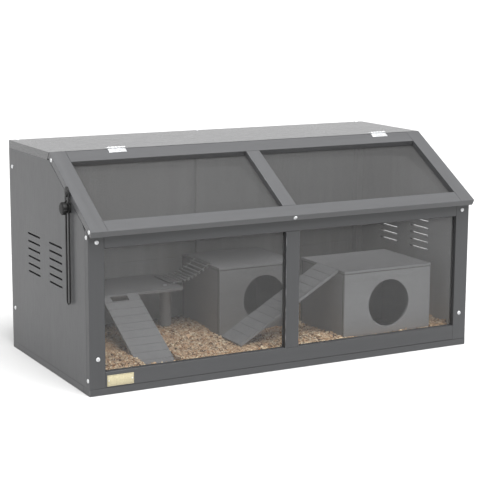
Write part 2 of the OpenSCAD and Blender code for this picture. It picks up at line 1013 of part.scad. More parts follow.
ramp_one_length = ramp_run(platform_top - ramp_one_bottom, ramp_one_angle);
ramp_two_length = ramp_run(house_top + ramp_thickness * 0.3 - ramp_two_bottom, ramp_two_angle);

module ramp_one() {
  color(inside_grey)
    translate([ramp_one_at, platform_front - ramp_end_gap, platform_top])
      rotate([ramp_one_angle, 0, 0])
        difference() {
          ramp(ramp_one_length, ramp_one_angle);
          translate([ramp_slot_at[0], -ramp_slot_at[1] - ramp_slot[1], -2 * ramp_thickness])
            cube([ramp_slot[0], ramp_slot[1], 4 * ramp_thickness]);
        }
}

module ramp_two() {
  color(inside_grey)
    translate([house_two_at[0] - ramp_end_gap, ramp_two_front, house_top + ramp_thickness * 0.3])
      rotate([0, 0, -90])
        mirror([1, 0, 0])
          rotate([ramp_two_angle, 0, 0]) ramp(ramp_two_length, ramp_two_angle);
}

// Centre of the bridge's front edge at a share of its span
function bridge_at(t) =
  bridge_low + (bridge_high - bridge_low) * t - [0, 0, bridge_sag * 4 * t * (1 - t)];

module bridge_slats() {
  color(inside_grey)
    for (i = [0 : bridge_slat_count - 1])
      rod(bridge_at(i / (bridge_slat_count - 1)), "y", bridge_width, bridge_slat_radius);
}

// A wire swept through the slats, one ring of points at each slat
module bridge_wire(inset) {
  rings = bridge_slat_count;
  points = [
    for (i = [0 : rings - 1], k = [0 : wire_sides - 1])
      bridge_at(i / (rings - 1)) + [0, inset, 0]
      + wire_radius * [0, cos(k * 360 / wire_sides), sin(k * 360 / wire_sides)]
  ];
  faces = concat(
    [[for (k = [wire_sides - 1 : -1 : 0]) k]],
    [for (i = [0 : rings - 2], k = [0 : wire_sides - 1])
      let (next = (k + 1) % wire_sides, low = i * wire_sides, high = low + wire_sides)
      [low + k, low + next, high + next, high + k]],
    [[for (k = [0 : wire_sides - 1]) (rings - 1) * wire_sides + k]]
  );
  polyhedron(points, faces, convexity = 4);
}

module bridge_wires() {
  color(steel)
    for (inset = [wire_inset, bridge_width - wire_inset])
      bridge_wire(inset);
}

// --- Houses -----------------------------------------------------------------------

module house_front(at, width, doorway) {
  color(inside_grey)
    difference() {
      board([at[0], at[1], floor_top],
            [at[0] + width, at[1] + house_wall, house_top - house_wall], "z");
      rod([at[0] + doorway[0], at[1] - 1, floor_top + doorway[1]], "y", house_wall + 2,
          doorway_radius, $fn = 96);
    }
}

module house_back(at, width) {
  color(inside_grey)
    board([at[0], at[1] + house_depth - house_wall, floor_top],
          [at[0] + width, at[1] + house_depth, house_top - house_wall], "z");
}

module house_sides(at, width) {
  color(inside_grey)
    for (x = [at[0], at[0] + width - house_wall])
      block([x, at[1] + house_wall, floor_top],
            [x + house_wall, at[1] + house_depth - house_wall, house_top - house_wall]);
}

module house_roof(at, width) {
  color(inside_grey)
    board([at[0], at[1], house_top - house_wall],
          [at[0] + width, at[1] + house_depth, house_top], "x");
}

module house_one_front() house_front(house_one_at, house_one_width, doorway_one);
module house_one_back() house_back(house_one_at, house_one_width);
module house_one_sides() house_sides(house_one_at, house_one_width);
module house_one_roof() house_roof(house_one_at, house_one_width);
module house_two_front() house_front(house_two_at, house_two_width, doorway_two);
module house_two_back() house_back(house_two_at, house_two_width);
module house_two_sides() house_sides(house_two_at, house_two_width);
module house_two_roof() house_roof(house_two_at, house_two_width);

// --- Bedding ----------------------------------------------------------------------

// The heap from front to back: share of the run, share of the full depth
module bed_side() {
  run = inner_back - frame_back;
  rise = [for (step = bed_heap) [frame_back + step[0] * run, step[1] * bedding_depth]];
  translate([-inner_half, 0, floor_top])
    rotate([90, 0, 90])
      linear_extrude(2 * inner_half)
        polygon(concat([[rise[0][0], -1]], rise, [[rise[len(rise) - 1][0], -1]]));
}

// The floor that is left for the shavings between the pieces standing on it
module bed_plan() {
  foot = ramp_one_length * cos(ramp_one_angle);
  translate([0, 0, floor_top])
    linear_extrude(2 * bedding_depth)
      difference() {
        translate([-inner_half + bed_gap, frame_back + bed_gap])
          square([2 * (inner_half - bed_gap), inner_back - frame_back - 2 * bed_gap]);
        footprint(house_one_at, [house_one_width, house_depth]);
        footprint(house_two_at, [house_two_width, house_depth]);
        for (x = [-inner_half, inner_half - batten], y = [frame_back, inner_back - batten])
          footprint([x, y], [batten, batten]);
        footprint([-batten / 2, inner_back - batten / 2], [batten, batten / 2]);
        translate(post_place) circle(r = post_radius + bed_gap);
        footprint([ramp_one_at, platform_front - foot - ramp_landing],
                  [ramp_width, ramp_landing + bedding_depth / tan(ramp_one_angle) + ramp_rise]);
      }
}

module bedding() {
  color(shavings)
    intersection() {
      bed_side();
      bed_plan();
    }
}

base_front_rail();
base_back_rail();
base_side_rails();
base_middle_rail();
floor_panel();
left_side_panel();
right_side_panel();
back_panel_left();
back_panel_right();
back_centre_batten();
corner_battens();
roof_panel();
front_left_stile();
front_right_stile();
front_centre_stile();
front_top_rail();
front_bottom_rail();
front_left_pane();
front_right_pane();
frame_screws();
roof_screws();
nameplate();
nameplate_nails();
lid_left_stile();
lid_right_stile();
lid_centre_stile();
lid_top_rail_board();
lid_bottom_rail_board();
lid_left_pane();
lid_right_pane();
lid_screws();
hinge_roof_leaves();
hinge_lid_leaves();
hinge_pins();
hinge_roof_screws();
hinge_lid_screws();
stay_stud();
stay_knob();
stay_guide();
stay_bar();
stay_pivot_screw();
platform_board();
platform_post();
platform_post_screw();
platform_cleats();
ramp_one();
ramp_two();
bridge_slats();
bridge_wires();
house_one_front();
house_one_back();
house_one_sides();
house_one_roof();
house_two_front();
house_two_back();
house_two_sides();
house_two_roof();
bedding();
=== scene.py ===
"""Looks of a wooden hamster cage with a hinged window lid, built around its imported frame."""

import json
import math
import random

import bmesh
import bpy
import numpy as np
from bpy.props import FloatProperty, FloatVectorProperty, IntProperty, PointerProperty
from bpy.types import Operator, Panel, PropertyGroup
from mathutils import Matrix, Vector, noise
from mathutils.bvhtree import BVHTree


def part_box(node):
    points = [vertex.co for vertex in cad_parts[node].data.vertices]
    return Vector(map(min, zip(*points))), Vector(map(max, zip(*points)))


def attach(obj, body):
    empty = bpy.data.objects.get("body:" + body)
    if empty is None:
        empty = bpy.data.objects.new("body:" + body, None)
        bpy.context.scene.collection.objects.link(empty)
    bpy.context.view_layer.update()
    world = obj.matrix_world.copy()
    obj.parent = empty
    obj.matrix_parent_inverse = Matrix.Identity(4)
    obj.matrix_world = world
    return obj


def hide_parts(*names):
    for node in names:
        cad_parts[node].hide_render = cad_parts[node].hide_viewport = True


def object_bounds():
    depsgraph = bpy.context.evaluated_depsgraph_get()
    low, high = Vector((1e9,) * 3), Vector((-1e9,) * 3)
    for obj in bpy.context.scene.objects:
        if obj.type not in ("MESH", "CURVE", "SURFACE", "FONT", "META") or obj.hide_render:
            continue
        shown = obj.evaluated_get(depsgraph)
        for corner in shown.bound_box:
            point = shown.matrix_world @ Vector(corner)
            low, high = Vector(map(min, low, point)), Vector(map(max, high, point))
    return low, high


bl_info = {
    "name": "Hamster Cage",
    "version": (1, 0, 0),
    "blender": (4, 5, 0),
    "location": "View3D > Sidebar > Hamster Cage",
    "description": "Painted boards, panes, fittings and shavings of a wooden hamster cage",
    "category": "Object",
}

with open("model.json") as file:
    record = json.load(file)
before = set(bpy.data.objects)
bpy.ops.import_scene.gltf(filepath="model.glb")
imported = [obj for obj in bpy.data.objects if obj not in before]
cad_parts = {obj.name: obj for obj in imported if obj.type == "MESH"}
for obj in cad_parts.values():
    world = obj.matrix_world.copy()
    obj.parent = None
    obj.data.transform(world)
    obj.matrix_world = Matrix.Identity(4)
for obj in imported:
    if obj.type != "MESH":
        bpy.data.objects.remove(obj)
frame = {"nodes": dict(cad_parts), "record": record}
CAD_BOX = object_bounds()
NODES = frame["nodes"]
SLOT_OF = {part["node"]: part["material_slot"] for part in frame["record"]["subparts"]}
BODY_OF = {
    node: body
    for body, members in frame["record"]["behaviour"]["bodies"].items()
    for node in members
}

MERGE = 1e-6
FLAT_ANGLE = math.radians(1)
EDGE_ANGLE = math.radians(25)
SMOOTH_ANGLE = math.radians(40)
GROOVE_FOLD = math.radians(-50)
EDGE_SEGMENTS = 2
LATHE_STEPS = 32
FACING = 0.5  # a face looks towards a direction when its normal goes this far along it
NEAR_CORNER = 0.8  # where a face is tested for a joint, from its middle to its corner
SEED = 11

# Boards and the direction that their grain runs in: x, y, z, or up the lid's slope
CARCASS = {
    "base_front_rail": "x", "base_back_rail": "x", "base_side_rails": "y",
    "base_middle_rail": "y", "floor_panel": "x", "left_side_panel": "z",
    "right_side_panel": "z", "back_panel_left": "z", "back_panel_right": "z",
    "back_centre_batten": "z", "corner_battens": "z", "roof_panel": "x",
}
BATTENS = ("back_centre_batten", "corner_battens")
# Panels whose inner face is painted lighter as painted light inside the cage, and the way that it faces
INNER_FACE = {
    "floor_panel": (0, 0, 1), "back_panel_left": (0, -1, 0), "back_panel_right": (0, -1, 0),
    "left_side_panel": (1, 0, 0), "right_side_panel": (-1, 0, 0),
}
FRONT_FRAME = {
    "front_left_stile": "z", "front_right_stile": "z", "front_centre_stile": "z",
    "front_top_rail": "x", "front_bottom_rail": "x",
}
LID_FRAME = {
    "lid_left_stile": "slope", "lid_right_stile": "slope", "lid_centre_stile": "slope",
    "lid_top_rail_board": "x", "lid_bottom_rail_board": "x",
}
FURNITURE = {
    "platform_board": "x", "platform_post": "z", "platform_cleats": "x",
    "ramp_one": "y", "ramp_two": "x",
    "house_one_front": "x", "house_one_back": "x", "house_one_sides": "y", "house_one_roof": "x",
    "house_two_front": "x", "house_two_back": "x", "house_two_sides": "y", "house_two_roof": "x",
}
PANES = {
    "front_left_pane": "front", "front_right_pane": "front",
    "lid_left_pane": "lid", "lid_right_pane": "lid",
}
HINGE_PARTS = ("hinge_roof_leaves", "hinge_lid_leaves", "hinge_pins")
SCREW_NODES = (
    "frame_screws", "roof_screws", "lid_screws", "hinge_roof_screws", "hinge_lid_screws",
    "platform_post_screw",
)
BOARD_NUMBER = {
    node: number for number, node in enumerate([*CARCASS, *FRONT_FRAME, *LID_FRAME, *FURNITURE])
}

# Finishes: sizes of their mottles in metres, ranges of roughness, and depth and strength of bumps
NOISE_RANGE = (0.3, 0.7)
NOISE_ROUGHNESS = 0.6
GRAIN_STRETCH = {"x": (22, 1, 1), "y": (1, 22, 1), "slope": (1, 22, 1), "z": (1, 1, 22)}
GRAIN_BUMP = (0.0005, 0.35)
PORE_HEIGHT = 0.6
PORE_ROUGHNESS = (-0.05, 0.07)
SATIN = 0.42
COAT_ROUGHNESS = {"furniture_paint": 0.5, "roof_lit_paint": 0.24}
# Patches of the lighter board edges: partly wear, partly a painted highlight
EDGE_MARK_PATCH, EDGE_MARK_SHARE, EDGE_MARK_RANGE = 0.02, 0.55, (0.42, 0.62)
ZINC_LINE, ZINC_CLOUD, ZINC_STRETCH = 0.0006, 0.006, (1, 12, 12)
ZINC_DULL, ZINC_METALLIC, ZINC_ROUGHNESS, ZINC_BUMP = 0.72, 0.6, (0.30, 0.46), (0.0001, 0.3)
# Patches of the black parts' lighter edges: partly wear, partly a painted highlight
BLACK_EDGE_PATCH, BLACK_EDGE_SHARE, BLACK_EDGE_RANGE = 0.009, 0.7, (0.45, 0.6)
PEBBLE_ROUGHNESS, PEBBLE_BUMP, BLACK_SPECULAR = (-0.06, 0.08), (0.0002, 0.4), 0.3
WIPE_SIZE, WIPE_STRETCH, WIPE_SHADES, WIPE_ROUGHNESS = 0.03, (6, 1, 1), (0.96, 1.04), (0.05, 0.10)
ACRYLIC_IOR = 1.49
ENAMEL_CLOUD, ENAMEL_AGED = 0.004, 0.78
ENAMEL_ROUGHNESS, ENAMEL_BUMP = (0.3, 0.42), (0.0001, 0.2)
FIBRE_SIZE, FIBRE_SHADES, FIBRE_ROUGHNESS, FIBRE_BUMP = 0.0012, (0.82, 1.12), 0.85, (0.0005, 0.6)
BROWN_TO_TAN, TAN_TO_PALE = (0.1, 0.6), (0.55, 0.95)
FLOOR_CLOUD, FLOOR_SHADE, FLOOR_ROUGHNESS, FLOOR_SPECULAR = 0.8, 0.995, 0.9, 0.1

# A screw's head starts and its rim lies at these shares of its radius; sizes are kept to digits
HEAD_SHARE, RIM_SHARE, SIZE_DIGITS = 0.9, 0.98, 5
# Outline of a domed head from its top to its seat: shares of its radius and of its height
DOME = ((0, 1), (0.3, 0.97), (0.58, 0.86), (0.82, 0.62), (0.96, 0.3), (1, 0.08), (1, 0))
# Blades of the cross recess: shares of the head's radius and height
BLADE_LENGTH, BLADE_WIDTH, BLADE_TAPER, BLADE_FOOT, BLADE_TOP = 1.15, 0.24, 0.55, 0.3, 1.3
RECESS_TURN = 2.4
STAY_EDGES = {
    "stay_bar": 0.0005, "stay_guide": 0.0003, "stay_stud": 0.0003, "stay_pivot_screw": 0.0003,
}
KNOB_EDGE, SLAT_EDGE, WIRE_EDGE = 0.0008, 0.0008, 0.0002
PLATE_STEP, PLATE_BEVEL = 0.0001, 0.0002
SLAT_NUMBERS = 100

# Heaps of the bed: how many to a metre, share of the lift, and where in the noise
HEAPS = ((7.0, 0.75, (0, 0, 0)), (38.0, 0.42, (3, 1, 7)), (150.0, 0.30, (9, 4, 2)))
FLAKE_TAPER = 0.5
FLAKE_LEAN, FLAKE_SPREAD, FLAKE_SLIM, FLAKE_CURL = 0.35, 0.32, (0.55, 1.35), (0.12, 0.16)
FLAKE_SHADES, FLAKE_FLOOR, FLAKE_GAP, FLAKE_RISE = (0.75, 1.12), 0.004, 0.0006, 0.25
# Chances of a flake's colours, added up, and how fast brown turns to tan
TAN_CHANCE, PALE_CHANCE, BROWN_CHANCE, BROWN_BLEND = 0.40, 0.76, 0.90, 4
THIRDS = ("left", "middle", "right")

# Soft lights: turn to the left of the front, height above level and spread, in degrees
LIGHTS = {"key": (35, 72, 18), "left": (80, 25, 50), "front": (-12, 58, 40)}
SURROUND_RANGE = (0.2, 0.35)
SENSOR_WIDTH, FAR_CLIP = 36, 200


# --- Settings ---------------------------------------------------------------------------


def colour_property(name, description, default):
    return FloatVectorProperty(
        name=name, description=description, default=default, size=3, min=0, max=1, subtype="COLOR"
    )


def length_property(name, description, default):
    return FloatProperty(
        name=name, description=description, default=default, min=0, unit="LENGTH", precision=4
    )


def share_property(name, description, default):
    return FloatProperty(
        name=name, description=description, default=default, min=0, max=1, subtype="FACTOR"
    )


class PaintSettings(PropertyGroup):
    """The paint on the boards and the grain under it; its colours are lighter and darker copies of one
    grey paint, painted light and shade.
    """

    # These paint colours are copies of one grey paint, made lighter or darker for how each part is lit:
    # painted light and shade
    frame_colour: colour_property("Frame", "Paint of the front frame", (0.042, 0.043, 0.045))
    lid_colour: colour_property("Lid", "Paint of the lid's frame", (0.076, 0.077, 0.080))
    panel_colour: colour_property("Panels", "Paint of the side walls and base", (0.053, 0.054, 0.056))
    inside_colour: colour_property("Inside", "Paint of the back wall and floor", (0.380, 0.383, 0.388))
    roof_colour: colour_property("Roof", "Paint of the roof board", (0.054, 0.055, 0.057))
    furniture_colour: colour_property("Furniture", "Paint of the furniture", (0.225, 0.227, 0.232))
    # Lighter edges: partly wear, partly a painted highlight
    worn_colour: colour_property("Worn edge", "Where the paint is thin on an edge", (0.24, 0.24, 0.25))
    # Dark line where two boards meet: painted shade in the joint
    joint_colour: colour_property("Joint", "The dark line where two boards meet", (0.018, 0.018, 0.019))
    streak_width: length_property("Streak width", "Width of the grain's broad streaks", 0.030)
    pore_width: length_property("Pore width", "Width of the grain's fine lines", 0.0016)
    streak_share: share_property("Streaks", "How far the streaks lighten and darken", 0.07)
    pore_share: share_property("Pores", "How far the fine lines lighten and darken", 0.06)
    board_share: share_property("Boards", "How far one board differs from the next", 0.04)
    edge_radius: length_property("Edge radius", "Rounding of the boards' edges", 0.0006)
    joint_reach: length_property("Joint reach", "How near another board an edge lies in a joint", 0.0017)


class PaneSettings(PropertyGroup):
    """The acrylic panes of the front and the lid."""

    colour: colour_property("Pane", "Haze of the acrylic", (0.095, 0.095, 0.095))
    front_haze: share_property("Front haze", "How much the front panes hide", 0.22)
    lid_haze: share_property("Lid haze", "How much the lid's panes hide", 0.34)
    edge_radius: length_property("Edge radius", "Rounding of the panes' edges", 0.0003)


class FittingSettings(PropertyGroup):
    """Screws, hinges, stay and nameplate."""

    zinc_colour: colour_property("Zinc", "Zinc plate", (0.74, 0.75, 0.76))
    black_colour: colour_property("Black", "Black powder coat and plastic", (0.006, 0.006, 0.006))
    plate_colour: colour_property("Nameplate", "Cream enamel", (0.47, 0.42, 0.27))
    plate_line_colour: colour_property("Plate line", "Line round the nameplate", (0.05, 0.04, 0.03))
    edge_radius: length_property("Edge radius", "Rounding of the metal edges", 0.0002)
    plate_border: length_property("Plate border", "From the plate's edge to its line", 0.0022)
    plate_line: length_property("Plate line", "Width of the line round the plate", 0.0007)


class ShavingsSettings(PropertyGroup):
    """The bed of wood shavings."""

    flakes: IntProperty(name="Flakes", description="Loose flakes", default=21000, min=0)
    flake_length: length_property("Flake length", "Length of a middling flake", 0.0068)
    flake_width: length_property("Flake width", "Width of a middling flake", 0.0032)
    flake_thickness: length_property("Flake thickness", "Thickness of a flake", 0.0005)
    cell: length_property("Cell", "Spacing of the bed's surface points", 0.006)
    lift: length_property("Lift", "Height of the small heaps", 0.009)
    pale: colour_property("Pale", "Fresh shavings", (0.84, 0.69, 0.48))
    tan: colour_property("Tan", "Most shavings", (0.70, 0.49, 0.30))
    brown: colour_property("Brown", "Heartwood shavings", (0.42, 0.22, 0.09))
    bark: colour_property("Bark", "Dark flecks of bark", (0.14, 0.065, 0.03))
    # The bed darkens towards the back wall as painted shade
    damp_from: length_property("Damp from", "Where the bed starts to darken towards the back", 0.02)
    damp_shade: share_property("Damp shade", "How light the bed is at the back wall", 0.12)


class StageSettings(PropertyGroup):
    """Camera, lights and floor."""

    camera_place: FloatVectorProperty(
        name="Camera", description="Place of the camera", default=(-1.9033, -3.5320, 1.0508),
        size=3, subtype="XYZ", unit="LENGTH",
    )
    camera_turn: FloatProperty(
        name="Turn", description="Camera's turn to the right", default=math.radians(28.28),
        subtype="ANGLE",
    )
    camera_dip: FloatProperty(
        name="Dip", description="Camera's dip below level", default=math.radians(10.55),
        subtype="ANGLE",
    )
    camera_roll: FloatProperty(
        name="Roll", description="Camera's roll", default=math.radians(0.28), subtype="ANGLE"
    )
    lens: FloatProperty(name="Lens", description="Focal length", default=109.36, unit="CAMERA")
    horizon: FloatProperty(name="Horizon", description="Strength of the white surround", default=1.1)
    ceiling: FloatProperty(name="Ceiling", description="Strength of the surround overhead", default=0.45)
    key_strength: FloatProperty(name="Key", description="High soft light", default=2.2)
    side_strength: FloatProperty(name="Side", description="Soft light on the left", default=0.45)
    front_strength: FloatProperty(name="Front", description="High soft light in front", default=3.9)
    floor_colour: colour_property("Floor", "Pale floor", (0.56, 0.56, 0.56))
    floor_size: length_property("Floor size", "Length and width of the floor", 120.0)


class CageSettings(PropertyGroup):
    """All the settings of the cage."""

    paint: PointerProperty(type=PaintSettings)
    panes: PointerProperty(type=PaneSettings)
    fittings: PointerProperty(type=FittingSettings)
    shavings: PointerProperty(type=ShavingsSettings)
    stage: PointerProperty(type=StageSettings)


def settings():
    return bpy.context.scene.hamster_cage


# --- Materials --------------------------------------------------------------------------


def shader_tree(name):
    """A new material, its node tree and its main shader."""
    material = bpy.data.materials.new(name)
    material.use_nodes = True
    return material, material.node_tree, material.node_tree.nodes["Principled BSDF"]


def add_node(tree, kind, inputs=None, **values):
    """A node with its settings and its inputs, which are numbers or other nodes' sockets."""
    node = tree.nodes.new(kind)
    for key, value in values.items():
        setattr(node, key, value)
    for key, value in (inputs or {}).items():
        if isinstance(value, bpy.types.NodeSocket):
            tree.links.new(value, node.inputs[key])
        else:
            node.inputs[key].default_value = value
    return node


def noise_node(tree, vector, size, detail=3.0, number=None):
    """Noise with grains of a size in metres; a number picks another part of the noise."""
    inputs = {
        "Vector": vector, "Scale": 1 / size, "Detail": detail, "Roughness": NOISE_ROUGHNESS
    }
    if number is not None:
        inputs["W"] = number
    return add_node(
        tree, "ShaderNodeTexNoise", inputs, noise_dimensions="3D" if number is None else "4D"
    ).outputs["Fac"]


def spread(tree, value, low, high, given=NOISE_RANGE):
    """A value taken from a given range to another."""
    return add_node(
        tree, "ShaderNodeMapRange",
        {"Value": value, "From Min": given[0], "From Max": given[1], "To Min": low, "To Max": high},
    ).outputs["Result"]


def object_place(tree):
    """Where a point is on the object."""
    return add_node(tree, "ShaderNodeTexCoord").outputs["Object"]


def mesh_value(tree, name, output="Fac"):
    """A value or colour that the mesh carries."""
    return add_node(tree, "ShaderNodeAttribute", attribute_name=name).outputs[output]


def stretched(tree, place, scale, turn=(0, 0, 0)):
    """A place drawn out along a direction, for a pattern that runs along it."""
    inputs = {"Vector": place, "Rotation": turn, "Scale": scale}
    return add_node(tree, "ShaderNodeMapping", inputs, vector_type="TEXTURE").outputs[0]


def product(tree, first, second):
    return add_node(tree, "ShaderNodeMath", {0: first, 1: second}, operation="MULTIPLY").outputs[0]


def mixed(tree, share, first, second):
    """Two colours mixed by a share; each is a socket or a colour."""
    whole = [
        value if isinstance(value, bpy.types.NodeSocket) else (*value, 1)
        for value in (first, second)
    ]
    return add_node(
        tree, "ShaderNodeMix", {0: share, 6: whole[0], 7: whole[1]}, data_type="RGBA"
    ).outputs[2]


def tinted(tree, colour, brightness):
    """A colour made lighter or darker by a brightness near 1."""
    return add_node(
        tree, "ShaderNodeVectorMath", {0: colour, "Scale": brightness}, operation="SCALE"
    ).outputs[0]


def set_bump(tree, shader, height, depth, strength):
    inputs = {"Height": height, "Distance": depth, "Strength": strength}
    bump = add_node(tree, "ShaderNodeBump", inputs)
    tree.links.new(bump.outputs["Normal"], shader.inputs["Normal"])


def painted_wood(name, colour, grain, slope, roughness):
    """Satin paint on wood, with the grain showing through as streaks along the board, edges lighter as
    wear and painted highlight, and painted shade in its joints.
    """
    paint = settings().paint
    material, tree, shader = shader_tree(name)
    coords = object_place(tree)
    number = mesh_value(tree, "board_number")
    along = stretched(
        tree, coords, GRAIN_STRETCH[grain], (slope if grain == "slope" else 0, 0, 0)
    )
    streaks = noise_node(tree, along, paint.streak_width, detail=4, number=number)
    pores = noise_node(tree, along, paint.pore_width, detail=2, number=number)
    board = add_node(
        tree, "ShaderNodeTexWhiteNoise", {"W": number}, noise_dimensions="1D"
    ).outputs["Value"]
    brightness = product(
        tree,
        spread(tree, streaks, 1 - paint.streak_share, 1 + paint.streak_share),
        spread(tree, pores, 1 - paint.pore_share, 1 + paint.pore_share),
    )
    brightness = product(
        tree, brightness, spread(tree, board, 1 - paint.board_share, 1 + paint.board_share, (0, 1))
    )
    shade = add_node(tree, "ShaderNodeRGB")
    shade.outputs[0].default_value = (*colour, 1)
    base = tinted(tree, shade.outputs[0], brightness)
    # Lighter rounded edges: partly wear, partly a painted highlight
    patches = spread(
        tree, noise_node(tree, coords, EDGE_MARK_PATCH, detail=2), 0, EDGE_MARK_SHARE, EDGE_MARK_RANGE
    )
    worn_and_highlit = product(tree, mesh_value(tree, "edge_wear_and_highlight"), patches)
    base = mixed(tree, worn_and_highlit, base, paint.worn_colour)
    # Joints and groove walls darkened: painted shade
    base = mixed(tree, mesh_value(tree, "joint_shade"), base, paint.joint_colour)
    tree.links.new(base, shader.inputs["Base Color"])
    gloss = [roughness + change for change in PORE_ROUGHNESS]
    tree.links.new(spread(tree, pores, *gloss), shader.inputs["Roughness"])
    height = add_node(
        tree, "ShaderNodeMath", {0: pores, 1: PORE_HEIGHT, 2: streaks}, operation="MULTIPLY_ADD"
    ).outputs[0]
    set_bump(tree, shader, height, *GRAIN_BUMP)
    return material


def bright_zinc(name):
    """Zinc plate with fine drawn lines and slightly uneven gloss."""
    material, tree, shader = shader_tree(name)
    coords = object_place(tree)
    lines = noise_node(tree, stretched(tree, coords, ZINC_STRETCH), ZINC_LINE, detail=2)
    cloud = noise_node(tree, coords, ZINC_CLOUD, detail=2)
    bright = settings().fittings.zinc_colour
    dull = tuple(part * ZINC_DULL for part in bright)
    base = mixed(tree, spread(tree, cloud, 0, 1), dull, bright)
    tree.links.new(base, shader.inputs["Base Color"])
    tree.links.new(spread(tree, lines, *ZINC_ROUGHNESS), shader.inputs["Roughness"])
    shader.inputs["Metallic"].default_value = ZINC_METALLIC
    set_bump(tree, shader, lines, *ZINC_BUMP)
    return material


def zinc_plate():
    """The zinc of the hinges, screws and nails, made once."""
    return bpy.data.materials.get("bright_zinc") or bright_zinc("bright_zinc")


def black_finish(name, roughness, grain_size, worn_colour):
    """Black coat with a fine pebbled surface, lighter on its edges as wear and painted highlight."""
    material, tree, shader = shader_tree(name)
    coords = object_place(tree)
    pebbles = noise_node(tree, coords, grain_size, detail=2)
    # Lighter rounded edges: partly wear, partly a painted highlight
    patches = spread(
        tree, noise_node(tree, coords, BLACK_EDGE_PATCH, detail=2), 0, BLACK_EDGE_SHARE, BLACK_EDGE_RANGE
    )
    worn_and_highlit = product(tree, mesh_value(tree, "edge_wear_and_highlight"), patches)
    base = mixed(tree, worn_and_highlit, settings().fittings.black_colour, worn_colour)
    tree.links.new(base, shader.inputs["Base Color"])
    gloss = [roughness + change for change in PEBBLE_ROUGHNESS]
    tree.links.new(spread(tree, pebbles, *gloss), shader.inputs["Roughness"])
    shader.inputs["Specular IOR Level"].default_value = BLACK_SPECULAR
    set_bump(tree, shader, pebbles, *PEBBLE_BUMP)
    return material


def clear_pane(name, haze):
    """Clear acrylic with a faint haze and a trace of wiping marks in its gloss."""
    material, tree, shader = shader_tree(name)
    marks = noise_node(tree, stretched(tree, object_place(tree), WIPE_STRETCH), WIPE_SIZE)
    shades = [
        tuple(min(1, part * shade) for part in settings().panes.colour) for shade in WIPE_SHADES
    ]
    base = mixed(tree, spread(tree, marks, 0, 1), *shades)
    tree.links.new(base, shader.inputs["Base Color"])
    tree.links.new(spread(tree, marks, *WIPE_ROUGHNESS), shader.inputs["Roughness"])
    shader.inputs["Alpha"].default_value = haze
    shader.inputs["IOR"].default_value = ACRYLIC_IOR
    return material


def cream_enamel(name):
    """Cream enamel with a faint mottle; the line round it is dark."""
    material, tree, shader = shader_tree(name)
    fittings = settings().fittings
    cloud = noise_node(tree, object_place(tree), ENAMEL_CLOUD, detail=4)
    aged = tuple(part * ENAMEL_AGED for part in fittings.plate_colour)
    base = mixed(tree, spread(tree, cloud, 0, 1), aged, fittings.plate_colour)
    base = mixed(tree, mesh_value(tree, "plate_line"), base, fittings.plate_line_colour)
    tree.links.new(base, shader.inputs["Base Color"])
    tree.links.new(spread(tree, cloud, *ENAMEL_ROUGHNESS), shader.inputs["Roughness"])
    set_bump(tree, shader, cloud, *ENAMEL_BUMP)
    return material


def dry_shavings(name, loose):
    """Raw wood: fibres along each flake, or a bed mottled with the flakes' colours; both darker towards
    the back wall as painted shade.
    """
    shavings = settings().shavings
    material, tree, shader = shader_tree(name)
    coords = object_place(tree)
    fibres = noise_node(tree, coords, FIBRE_SIZE)
    if loose:
        base = mesh_value(tree, "flake_colour", "Color")
    else:
        chips = add_node(
            tree, "ShaderNodeTexVoronoi", {"Vector": coords, "Scale": 1 / shavings.flake_width}
        ).outputs["Color"]
        pick = add_node(tree, "ShaderNodeSeparateColor", {"Color": chips}).outputs[0]
        base = mixed(tree, spread(tree, pick, 0, 1, BROWN_TO_TAN), shavings.brown, shavings.tan)
        base = mixed(tree, spread(tree, pick, 0, 1, TAN_TO_PALE), base, shavings.pale)
    base = tinted(tree, base, spread(tree, fibres, *FIBRE_SHADES))
    # Painted shade: darker towards the back wall
    depth = add_node(tree, "ShaderNodeSeparateXYZ", {"Vector": coords}).outputs["Y"]
    shade_span = (shavings.damp_from, CAD_BOX[1][1])
    base = tinted(tree, base, spread(tree, depth, 1, shavings.damp_shade, shade_span))
    tree.links.new(base, shader.inputs["Base Color"])
    shader.inputs["Roughness"].default_value = FIBRE_ROUGHNESS
    set_bump(tree, shader, fibres, *FIBRE_BUMP)
    return material


def pale_floor(name):
    """A plain pale floor with a trace of mottle."""
    material, tree, shader = shader_tree(name)
    cloud = noise_node(tree, object_place(tree), FLOOR_CLOUD, detail=2)
    colour = settings().stage.floor_colour
    shade = tuple(part * FLOOR_SHADE for part in colour)
    base = mixed(tree, spread(tree, cloud, 0, 1), shade, colour)
    tree.links.new(base, shader.inputs["Base Color"])
    shader.inputs["Roughness"].default_value = FLOOR_ROUGHNESS
    shader.inputs["Specular IOR Level"].default_value = FLOOR_SPECULAR
    return material


def lid_slope():
    """Angle of the lid above level, from the broad face of one of its panes."""
    face = max(NODES["lid_left_pane"].data.polygons, key=lambda polygon: polygon.area)
    return math.atan2(abs(face.normal.y), abs(face.normal.z))


def board_material(node, grain, inside=False):
    """The paint of a board, made once for each colour and grain direction; each colour is one grey paint
    made lighter or darker as painted light and shade.
    """
    paint = settings().paint
    if node == "roof_panel":
        coat, colour = "roof_lit_paint", paint.roof_colour
    elif node in LID_FRAME:
        coat, colour = "lid_lit_paint", paint.lid_colour
    # The front-facing base rail takes the darker front copy of the paint as painted shade
    elif SLOT_OF[node] == "frame_paint" or node == "base_front_rail":
        coat, colour = "front_lit_paint", paint.frame_colour
    # Inner faces and battens take the much lighter inside copy of the paint as painted light
    elif inside or node in BATTENS:
        coat, colour = "inside_lit_paint", paint.inside_colour
    elif SLOT_OF[node] == "panel_paint":
        coat, colour = "wall_lit_paint", paint.panel_colour
    else:
        coat, colour = "furniture_paint", paint.furniture_colour
    name, roughness = f"{coat}_{grain}", COAT_ROUGHNESS.get(coat, SATIN)
    return bpy.data.materials.get(name) or painted_wood(name, colour, grain, lid_slope(), roughness)


